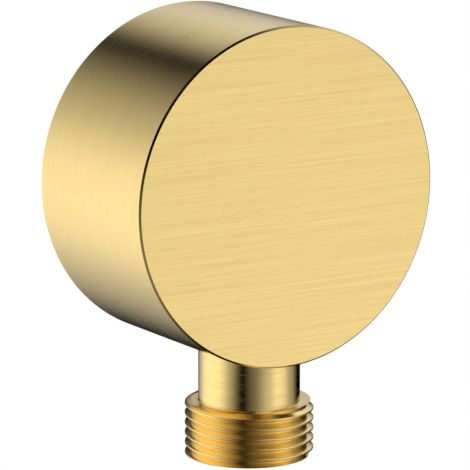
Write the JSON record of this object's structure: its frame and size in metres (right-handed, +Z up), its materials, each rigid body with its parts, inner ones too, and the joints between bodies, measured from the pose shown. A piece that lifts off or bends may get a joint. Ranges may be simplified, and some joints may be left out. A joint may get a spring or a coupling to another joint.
{
  "type": "wall outlet elbow",
  "caption": "Round wall outlet elbow: a brushed brass drum takes water in at its back and turns it down into a threaded hose nipple.",
  "frame": {"origin": "centre of the inlet's mouth, on the wall plane", "axes": "+Y into the wall along the inlet, +Z up, the flat front faces -Y and the hose thread points to -Z"},
  "size_m": [0.055, 0.0308, 0.0718],
  "materials": {
    "brushed_brass": "brushed, gold coloured",
    "turned_brass": "turned satin, gold coloured",
    "seal_rubber": "moulded"
  },
  "bodies": {
    "root": {"drum_body": "brushed_brass", "hose_nipple": "turned_brass", "nipple_seal": "seal_rubber", "wall_seal": "seal_rubber"}
  },
  "joints": []
}
